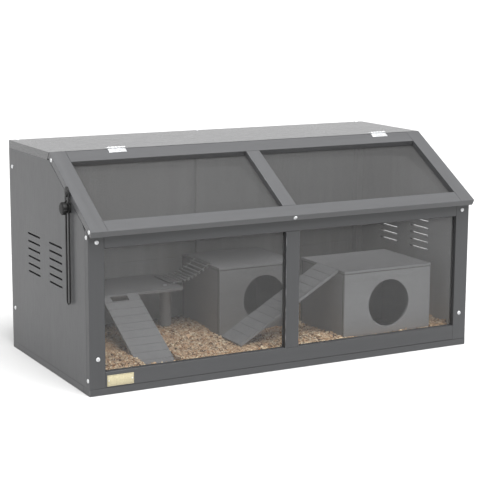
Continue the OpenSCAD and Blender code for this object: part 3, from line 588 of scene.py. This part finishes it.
# --- Meshes -----------------------------------------------------------------------------


def node_mesh(node):
    """An editable copy of a node's solids with its loose triangles joined into whole faces."""
    bm = bmesh.new()
    bm.from_mesh(NODES[node].data)
    bmesh.ops.remove_doubles(bm, verts=bm.verts, dist=MERGE)
    bmesh.ops.dissolve_limit(bm, angle_limit=FLAT_ANGLE, verts=bm.verts, edges=bm.edges)
    return bm


def round_edges(bm, radius):
    """Rounds every edge that turns; the rounded faces are marked for wear and a painted highlight."""
    layer = bm.faces.layers.float.new("edge_wear_and_highlight")
    edges = [e for e in bm.edges if e.is_manifold and e.calc_face_angle(0) > EDGE_ANGLE]
    made = bmesh.ops.bevel(
        bm, geom=edges, offset=radius, offset_type="OFFSET", segments=EDGE_SEGMENTS, profile=0.5,
        affect="EDGES", material=-1, clamp_overlap=True,
    )
    for face in made["faces"]:
        face[layer] = 1.0


def make_piece(name, bm, material, like, replaced=()):
    """An object from a finished mesh, riding on the body of a node."""
    mesh = bpy.data.meshes.new(name)
    bm.to_mesh(mesh)
    bm.free()
    return place_piece(name, mesh, material, like, replaced)


def place_piece(name, mesh, material, like, replaced=()):
    """An object from a mesh, riding on the body of a node."""
    for stale in ("custom_normal", "UVMap"):
        if stale in mesh.attributes:
            mesh.attributes.remove(mesh.attributes[stale])
    mesh.materials.clear()
    mesh.materials.append(material)
    mesh.shade_smooth()
    mesh.set_sharp_from_angle(angle=SMOOTH_ANGLE)
    piece = bpy.data.objects.new(name, mesh)
    bpy.context.scene.collection.objects.link(piece)
    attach(piece, BODY_OF[like])
    if replaced:
        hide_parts(*replaced)
    return piece


def neighbours(node):
    """Search trees of the boards whose boxes reach a board's box."""
    reach = settings().paint.joint_reach
    low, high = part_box(node)
    found = []
    for other in BOARD_NUMBER:
        if other == node:
            continue
        other_low, other_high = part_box(other)
        if all(low[i] - reach < other_high[i] and other_low[i] - reach < high[i] for i in range(3)):
            bm = bmesh.new()
            bm.from_mesh(NODES[other].data)
            found.append(BVHTree.FromBMesh(bm))
            bm.free()
    return found


def mark_shaded_joints(bm, node):
    """Marks the walls of fine grooves and the narrow faces that meet another board, for painted shade in
    the joints.
    """
    paint = settings().paint
    wear_and_highlight = bm.faces.layers.float["edge_wear_and_highlight"]
    joint_shade_layer = bm.faces.layers.float.new("joint_shade")
    trees = neighbours(node)
    for face in bm.faces:
        longest = max(edge.calc_length() for edge in face.edges)
        if face.calc_area() > paint.joint_reach * longest:
            continue
        # Groove walls and faces against another board get painted shade
        if any(edge.calc_face_angle_signed(0) < GROOVE_FOLD for edge in face.edges):
            face[joint_shade_layer], face[wear_and_highlight] = 1.0, 0.0
            continue
        middle = face.calc_center_median()
        ends = [middle.lerp(vert.co, NEAR_CORNER) for vert in face.verts] + [middle]
        if any(tree.find_nearest(point, paint.joint_reach)[0] for tree in trees for point in ends):
            face[joint_shade_layer], face[wear_and_highlight] = 1.0, 0.0


def finish_board(node, grain):
    """A board with rounded edges and painted grain in place of its plain solid."""
    bm = node_mesh(node)
    round_edges(bm, settings().paint.edge_radius)
    mark_shaded_joints(bm, node)
    layer = bm.faces.layers.float.new("board_number")
    for face in bm.faces:
        face[layer] = BOARD_NUMBER[node]
    piece = make_piece(f"painted_{node}", bm, board_material(node, grain), node, [node])
    keep_flats_flat(piece)
    # Inner faces get the lighter inside copy of the paint as painted light
    if node in INNER_FACE:
        piece.data.materials.append(board_material(node, grain, inside=True))
        inward = Vector(INNER_FACE[node])
        for polygon in piece.data.polygons:
            polygon.material_index = int(polygon.normal.dot(inward) > FACING)


def keep_flats_flat(piece):
    """Lets the broad faces rule the shading at their rounded edges."""
    modifier = piece.modifiers.new("Flat faces", "WEIGHTED_NORMAL")
    modifier.keep_sharp = True


def islands(node):
    """The points of each separate solid of a node, as arrays."""
    bm = node_mesh(node)
    found, seen = [], set()
    for start in bm.verts:
        if start in seen:
            continue
        seen.add(start)
        group = [start]
        for vert in group:
            for link in vert.link_edges:
                other = link.other_vert(vert)
                if other not in seen:
                    seen.add(other)
                    group.append(other)
        found.append(np.array([vert.co for vert in group]))
    bm.free()
    return sorted(found, key=lambda points: tuple(points.mean(0).round(4)))


# --- Boards and panes -------------------------------------------------------------------


class CAGE_OT_carcass(Operator):
    """Paint the base, walls and roof"""

    bl_idname = "cage.carcass"
    bl_label = "Base, walls and roof"

    def execute(self, context):
        for node, grain in CARCASS.items():
            finish_board(node, grain)
        return {"FINISHED"}


class CAGE_OT_front_frame(Operator):
    """Paint the stiles and rails of the front"""

    bl_idname = "cage.front_frame"
    bl_label = "Front frame"

    def execute(self, context):
        for node, grain in FRONT_FRAME.items():
            finish_board(node, grain)
        return {"FINISHED"}


class CAGE_OT_lid_frame(Operator):
    """Paint the stiles and rails of the lid"""

    bl_idname = "cage.lid_frame"
    bl_label = "Lid frame"

    def execute(self, context):
        for node, grain in LID_FRAME.items():
            finish_board(node, grain)
        return {"FINISHED"}


class CAGE_OT_furniture(Operator):
    """Paint the platform, ramps and houses"""

    bl_idname = "cage.furniture"
    bl_label = "Platform, ramps and houses"

    def execute(self, context):
        for node, grain in FURNITURE.items():
            finish_board(node, grain)
        return {"FINISHED"}


class CAGE_OT_panes(Operator):
    """Fit the acrylic panes of the front and the lid"""

    bl_idname = "cage.panes"
    bl_label = "Panes"

    def execute(self, context):
        panes = settings().panes
        clear = {
            "front": clear_pane("front_acrylic", panes.front_haze),
            "lid": clear_pane("lid_acrylic", panes.lid_haze),
        }
        for node, place in PANES.items():
            bm = node_mesh(node)
            round_edges(bm, panes.edge_radius)
            make_piece(f"polished_{node}", bm, clear[place], node, [node])
        return {"FINISHED"}


# --- Fittings ---------------------------------------------------------------------------


def screw_frame(points):
    """Where a screw sits: its matrix with +Z out of the head, and its sizes."""
    middle = points.mean(0)
    axis = np.linalg.svd(points - middle)[2][0]
    along = (points - middle) @ axis
    radial = np.linalg.norm(points - middle - np.outer(along, axis), axis=1)
    if along[radial > radial.max() * HEAD_SHARE].mean() < (along.max() + along.min()) / 2:
        axis, along = -axis, -along
    rim = along[radial > radial.max() * RIM_SHARE]
    seat = middle + axis * rim.min()
    turn = Vector((0, 0, 1)).rotation_difference(Vector(axis)).to_matrix().to_4x4()
    sizes = (
        radial.max(), along.max() - rim.min(), radial[along < rim.min() - MERGE].max(),
        rim.min() - along.min(),
    )
    place = Matrix.Translation(Vector(seat)) @ turn
    return place, tuple(round(float(size), SIZE_DIGITS) for size in sizes)


def domed_head(sizes):
    """A screw or nail turned about +Z, with its head's seat at the origin."""
    radius, height, shank, length = sizes
    outline = [(radius * across, height * up) for across, up in DOME]
    outline += [(shank, 0), (shank, shank - length), (0, -length)]
    bm = bmesh.new()
    verts = [bm.verts.new((across, 0, up)) for across, up in outline]
    edges = [bm.edges.new(pair) for pair in zip(verts, verts[1:])]
    bmesh.ops.spin(
        bm, geom=verts + edges, cent=(0, 0, 0), axis=(0, 0, 1), angle=2 * math.pi,
        steps=LATHE_STEPS, use_merge=True,
    )
    bmesh.ops.remove_doubles(bm, verts=bm.verts, dist=MERGE)
    bmesh.ops.recalc_face_normals(bm, faces=bm.faces)
    return bm


def cross_cutter(radius, height):
    """Two crossed blades that taper downwards, for the recess in a screw head."""
    bm = bmesh.new()
    for turn in (0, math.pi / 2):
        blade = bmesh.ops.create_cube(bm, size=1)["verts"]
        for vert in blade:
            taper, up = (BLADE_TAPER, BLADE_FOOT) if vert.co.z < 0 else (1.0, BLADE_TOP)
            vert.co = Vector((
                vert.co.x * radius * BLADE_LENGTH * taper, vert.co.y * radius * BLADE_WIDTH,
                height * up,
            ))
        bmesh.ops.rotate(bm, verts=blade, matrix=Matrix.Rotation(turn, 3, "Z"))
    return bm


def cut_away(body, cutter):
    """The first mesh less the second; each is an editable mesh and is freed."""
    objects = []
    for bm in (body, cutter):
        mesh = bpy.data.meshes.new("cut")
        bm.to_mesh(mesh)
        bm.free()
        objects.append(bpy.data.objects.new("cut", mesh))
        bpy.context.scene.collection.objects.link(objects[-1])
    modifier = objects[0].modifiers.new("Cut", "BOOLEAN")
    modifier.operation, modifier.solver = "DIFFERENCE", "EXACT"
    modifier.use_self = True
    modifier.object = objects[1]
    graph = bpy.context.evaluated_depsgraph_get()
    result = bpy.data.meshes.new_from_object(objects[0].evaluated_get(graph))
    for used in objects:
        bpy.data.meshes.remove(used.data)
    return result


def screw_piece(node, material, recess):
    """All the screws or nails of a node as one piece, each turned a little differently."""
    bm, templates = bmesh.new(), {}
    for number, points in enumerate(islands(node)):
        place, sizes = screw_frame(points)
        if sizes not in templates:
            head = domed_head(sizes)
            if recess:
                templates[sizes] = cut_away(head, cross_cutter(sizes[0], sizes[1]))
            else:
                templates[sizes] = bpy.data.meshes.new("nail")
                head.to_mesh(templates[sizes])
                head.free()
        copy = templates[sizes].copy()
        copy.transform(place @ Matrix.Rotation(number * RECESS_TURN, 4, "Z"))
        bm.from_mesh(copy)
        bpy.data.meshes.remove(copy)
    make_piece(f"turned_{node}", bm, material, node, [node])


def metal_piece(node, material, radius, prefix):
    """A fitting with rounded edges in place of its plain solid."""
    bm = node_mesh(node)
    round_edges(bm, radius)
    make_piece(f"{prefix}_{node}", bm, material, node, [node])


class CAGE_OT_hinges(Operator):
    """Fit the two butt hinges"""

    bl_idname = "cage.hinges"
    bl_label = "Hinges"

    def execute(self, context):
        for node in HINGE_PARTS:
            metal_piece(node, zinc_plate(), settings().fittings.edge_radius, "plated")
        return {"FINISHED"}


class CAGE_OT_screws(Operator):
    """Drive the domed screws with their cross recesses"""

    bl_idname = "cage.screws"
    bl_label = "Screws"

    def execute(self, context):
        for node in SCREW_NODES:
            screw_piece(node, zinc_plate(), recess=True)
        return {"FINISHED"}


class CAGE_OT_stay(Operator):
    """Fit the slotted lid stay with its stud, guide, pivot screw and knob"""

    bl_idname = "cage.stay"
    bl_label = "Lid stay"

    def execute(self, context):
        coat = black_finish(
            "black_powder_coat", roughness=0.5, grain_size=0.0006, worn_colour=(0.06, 0.06, 0.06)
        )
        plastic = black_finish(
            "black_moulded_plastic", roughness=0.55, grain_size=0.0009,
            worn_colour=(0.03, 0.03, 0.03),
        )
        for node, radius in STAY_EDGES.items():
            metal_piece(node, coat, radius, "coated")
        metal_piece("stay_knob", plastic, KNOB_EDGE, "moulded")
        return {"FINISHED"}


class CAGE_OT_nameplate(Operator):
    """Nail on the blank nameplate"""

    bl_idname = "cage.nameplate"
    bl_label = "Nameplate"

    def execute(self, context):
        fittings = settings().fittings
        low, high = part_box("nameplate")
        bm = bmesh.new()
        plate = bmesh.ops.create_cube(bm, size=1)["verts"]
        bmesh.ops.scale(bm, vec=high - low, verts=plate)
        bmesh.ops.translate(bm, vec=(low + high) / 2, verts=plate)
        layer = bm.faces.layers.float.new("plate_line")
        face = max(bm.faces, key=lambda f: -f.normal.y * f.calc_area())
        bmesh.ops.inset_region(bm, faces=[face], thickness=fittings.plate_border, depth=0)
        line = bmesh.ops.inset_region(
            bm, faces=[face], thickness=fittings.plate_line, depth=-PLATE_STEP
        )
        bmesh.ops.inset_region(bm, faces=[face], thickness=PLATE_BEVEL, depth=PLATE_STEP)
        for edge_face in line["faces"]:
            edge_face[layer] = 1.0
        enamel = cream_enamel("cream_enamel")
        make_piece("enamelled_nameplate", bm, enamel, "nameplate", ["nameplate"])
        screw_piece("nameplate_nails", zinc_plate(), recess=False)
        return {"FINISHED"}


# --- Bridge -----------------------------------------------------------------------------


class CAGE_OT_bridge(Operator):
    """Hang the bridge of slats on its two wires"""

    bl_idname = "cage.bridge"
    bl_label = "Bridge"

    def execute(self, context):
        bm = node_mesh("bridge_slats")
        round_edges(bm, SLAT_EDGE)
        layer = bm.faces.layers.float.new("board_number")
        for face in bm.faces:
            face[layer] = round(face.calc_center_median().x, 2) * SLAT_NUMBERS
        wood = board_material("bridge_slats", "y")
        make_piece("turned_bridge_slats", bm, wood, "bridge_slats", ["bridge_slats"])
        metal_piece("bridge_wires", bright_zinc("bridge_wire"), WIRE_EDGE, "drawn")
        return {"FINISHED"}


# --- Shavings ---------------------------------------------------------------------------


def heap_height(x, y, lift):
    """How far the bed stands above or below its level, in small heaps and hollows."""
    place = Vector((x, y, 0))
    return lift * sum(
        share * noise.noise(place * crowding + Vector(shift)) for crowding, share, shift in HEAPS
    )


def bed_mesh():
    """The bed's solid, its top cut into cells and heaped."""
    shavings = settings().shavings
    low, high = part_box("bedding")
    bm = node_mesh("bedding")
    for axis in (0, 1):
        cuts = int((high[axis] - low[axis]) / shavings.cell)
        normal = Vector((axis == 0, axis == 1, 0))
        for number in range(1, cuts):
            at = low[axis] + (high[axis] - low[axis]) * number / cuts
            top = [f for f in bm.faces if f.normal.z > FACING]
            near = {e for f in top for e in f.edges} | {v for f in top for v in f.verts} | set(top)
            bmesh.ops.bisect_plane(
                bm, geom=list(near), dist=MERGE, plane_co=normal * at, plane_no=normal
            )
    bmesh.ops.triangulate(bm, faces=[f for f in bm.faces if len(f.verts) > 4])
    for vert in {vert for face in bm.faces if face.normal.z > FACING for vert in face.verts}:
        vert.co.z += heap_height(vert.co.x, vert.co.y, shavings.lift)
    bm.normal_update()
    return bm


def flat_flake():
    """Points and faces of one flake a unit long, wide and thick, narrower towards one end."""
    bm = bmesh.new()
    bmesh.ops.create_cube(bm, size=1)
    bmesh.ops.bisect_plane(
        bm, geom=bm.verts[:] + bm.edges[:] + bm.faces[:], plane_co=(0, 0, 0), plane_no=(1, 0, 0)
    )
    for vert in bm.verts:
        vert.co.y *= 1.0 - FLAKE_TAPER * abs(vert.co.x) * (1 + vert.co.x)
    mesh = bpy.data.meshes.new("flake")
    bm.to_mesh(mesh)
    bm.free()
    points = np.array([vert.co for vert in mesh.vertices])
    faces = [tuple(polygon.vertices) for polygon in mesh.polygons]
    bpy.data.meshes.remove(mesh)
    return points, faces


def flake_colour(chance, shade, shavings):
    """A flake's colour: mostly tan, some pale, some brown, each a little lighter or darker."""
    if chance < TAN_CHANCE:
        colour = Vector(shavings.tan)
    elif chance < PALE_CHANCE:
        colour = Vector(shavings.pale)
    elif chance < BROWN_CHANCE:
        share = (chance - PALE_CHANCE) * BROWN_BLEND
        colour = Vector(shavings.brown).lerp(Vector(shavings.tan), share)
    else:
        colour = Vector(shavings.bark)
    return (*(colour * shade), 1)


def scatter_flakes(bed):
    """Places and colours of the flakes that lie on the bed."""
    shavings = settings().shavings
    draw = random.Random(SEED)
    low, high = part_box("bedding")
    flakes = []
    while len(flakes) < shavings.flakes:
        x, y = draw.uniform(low.x, high.x), draw.uniform(low.y, high.y)
        hit, normal, _, _ = bed.ray_cast(Vector((x, y, 1)), Vector((0, 0, -1)))
        lean = Vector((draw.gauss(0, FLAKE_LEAN), draw.gauss(0, FLAKE_LEAN), 1))
        turn, size = draw.uniform(0, 2 * math.pi), draw.lognormvariate(0, FLAKE_SPREAD)
        slim, curl = draw.uniform(*FLAKE_SLIM), draw.gauss(*FLAKE_CURL)
        colour = flake_colour(draw.random(), draw.uniform(*FLAKE_SHADES), shavings)
        if hit is None or hit.z < low.z + FLAKE_FLOOR:
            continue
        up = Vector((0, 0, 1)).rotation_difference((normal + lean).normalized()).to_matrix()
        matrix = np.array(up @ Matrix.Rotation(turn, 3, "Z"))
        extent = np.array((
            shavings.flake_length * size, shavings.flake_width * size * slim,
            shavings.flake_thickness,
        ))
        rise = FLAKE_GAP + FLAKE_RISE * extent[1] * lean.xy.length
        lift = np.array(hit) + np.array((0, 0, rise))
        flakes.append((matrix, extent, lift, curl, colour))
    return flakes


class CAGE_OT_shavings(Operator):
    """Spread the bed of wood shavings and its loose flakes"""

    bl_idname = "cage.shavings"
    bl_label = "Shavings"

    def execute(self, context):
        bm = bed_mesh()
        bed = BVHTree.FromBMesh(bm)
        bedded = dry_shavings("bedded_shavings", loose=False)
        make_piece("shavings_bed", bm, bedded, "bedding", ["bedding"])
        points, faces = flat_flake()
        loose = dry_shavings("loose_shavings", loose=True)
        flakes = sorted(scatter_flakes(bed), key=lambda flake: flake[2][0])
        share = math.ceil(len(flakes) / len(THIRDS))
        for number, place in enumerate(THIRDS):
            part = flakes[number * share:(number + 1) * share]
            coords, colours, polygons = [], [], []
            for matrix, extent, lift, curl, colour in part:
                shape = points * extent
                shape[:, 2] += curl * extent[0] * (points[:, 0] * 2) ** 2
                start = len(coords) * len(points)
                coords.append(shape @ matrix.T + lift)
                colours.append(np.tile(colour, (len(points), 1)))
                polygons += [tuple(start + corner for corner in face) for face in faces]
            mesh = bpy.data.meshes.new(f"loose_shavings_{place}")
            mesh.from_pydata(np.concatenate(coords), [], polygons)
            layer = mesh.attributes.new("flake_colour", "FLOAT_COLOR", "POINT")
            layer.data.foreach_set("color", np.concatenate(colours).astype(np.float32).ravel())
            place_piece(f"loose_shavings_{place}", mesh, loose, "bedding")
        return {"FINISHED"}


# --- Stage ------------------------------------------------------------------------------


def soft_sun(name, strength):
    """A wide far light, placed as the table of lights says."""
    turn, height, width = (math.radians(angle) for angle in LIGHTS[name])
    data = bpy.data.lights.new(name, "SUN")
    data.energy, data.angle = strength, width
    light = bpy.data.objects.new(name, data)
    towards = Vector((
        -math.sin(turn) * math.cos(height), -math.cos(turn) * math.cos(height), math.sin(height)
    ))
    light.matrix_world = towards.to_track_quat("Z", "Y").to_matrix().to_4x4()
    bpy.context.scene.collection.objects.link(light)


def white_surround(stage):
    """A surround that is white at the horizon and dimmer overhead."""
    world = bpy.data.worlds.new("surround")
    world.use_nodes = True
    tree = world.node_tree
    shader = tree.nodes["Background"]
    direction = add_node(tree, "ShaderNodeTexCoord").outputs["Generated"]
    height = add_node(tree, "ShaderNodeSeparateXYZ", {0: direction}).outputs["Z"]
    strength = spread(tree, height, stage.horizon, stage.ceiling, SURROUND_RANGE)
    tree.links.new(strength, shader.inputs["Strength"])
    shader.inputs["Color"].default_value = (1, 1, 1, 1)
    return world


class CAGE_OT_stage(Operator):
    """Set up the camera, the soft lights and the pale floor"""

    bl_idname = "cage.stage"
    bl_label = "Stage"

    def execute(self, context):
        stage, scene = settings().stage, context.scene
        data = bpy.data.cameras.new("camera")
        data.lens, data.sensor_width, data.clip_end = stage.lens, SENSOR_WIDTH, FAR_CLIP
        camera = bpy.data.objects.new("camera", data)
        camera.matrix_world = (
            Matrix.Translation(stage.camera_place)
            @ Matrix.Rotation(-stage.camera_turn, 4, "Z")
            @ Matrix.Rotation(math.pi / 2 - stage.camera_dip, 4, "X")
            @ Matrix.Rotation(stage.camera_roll, 4, "Z")
        )
        scene.collection.objects.link(camera)
        scene.camera = camera

        bm = bmesh.new()
        bmesh.ops.create_grid(bm, x_segments=2, y_segments=2, size=stage.floor_size / 2)
        mesh = bpy.data.meshes.new("floor")
        bm.to_mesh(mesh)
        bm.free()
        mesh.materials.append(pale_floor("pale_floor"))
        floor = bpy.data.objects.new("floor", mesh)
        scene.collection.objects.link(floor)

        soft_sun("key", stage.key_strength)
        soft_sun("left", stage.side_strength)
        soft_sun("front", stage.front_strength)
        scene.world = white_surround(stage)
        scene.view_settings.view_transform = "Standard"
        return {"FINISHED"}


# --- Panel and run ----------------------------------------------------------------------

STEPS = (
    CAGE_OT_stage, CAGE_OT_carcass, CAGE_OT_front_frame, CAGE_OT_lid_frame, CAGE_OT_panes,
    CAGE_OT_hinges, CAGE_OT_screws, CAGE_OT_stay, CAGE_OT_nameplate, CAGE_OT_furniture,
    CAGE_OT_bridge, CAGE_OT_shavings,
)


class CAGE_PT_panel(Panel):
    """The settings and steps of the cage"""

    bl_idname = "CAGE_PT_panel"
    bl_label = "Hamster Cage"
    bl_space_type = "VIEW_3D"
    bl_region_type = "UI"
    bl_category = "Hamster Cage"

    def draw(self, context):
        layout = self.layout
        for step in STEPS:
            layout.operator(step.bl_idname)
        for group in context.scene.hamster_cage.bl_rna.properties:
            if group.type != "POINTER" or group.identifier == "rna_type":
                continue
            box = layout.box()
            box.label(text=group.identifier.capitalize())
            values = getattr(context.scene.hamster_cage, group.identifier)
            for value in values.bl_rna.properties:
                if value.identifier not in ("rna_type", "name"):
                    box.prop(values, value.identifier)


CLASSES = (
    PaintSettings, PaneSettings, FittingSettings, ShavingsSettings, StageSettings, CageSettings,
    *STEPS, CAGE_PT_panel,
)


def register():
    for item in CLASSES:
        bpy.utils.register_class(item)
    bpy.types.Scene.hamster_cage = PointerProperty(type=CageSettings)


def unregister():
    del bpy.types.Scene.hamster_cage
    for item in reversed(CLASSES):
        bpy.utils.unregister_class(item)


def main():
    register()
    for step in STEPS:
        group, name = step.bl_idname.split(".")
        getattr(getattr(bpy.ops, group), name)()


if __name__ == "__main__":
    main()
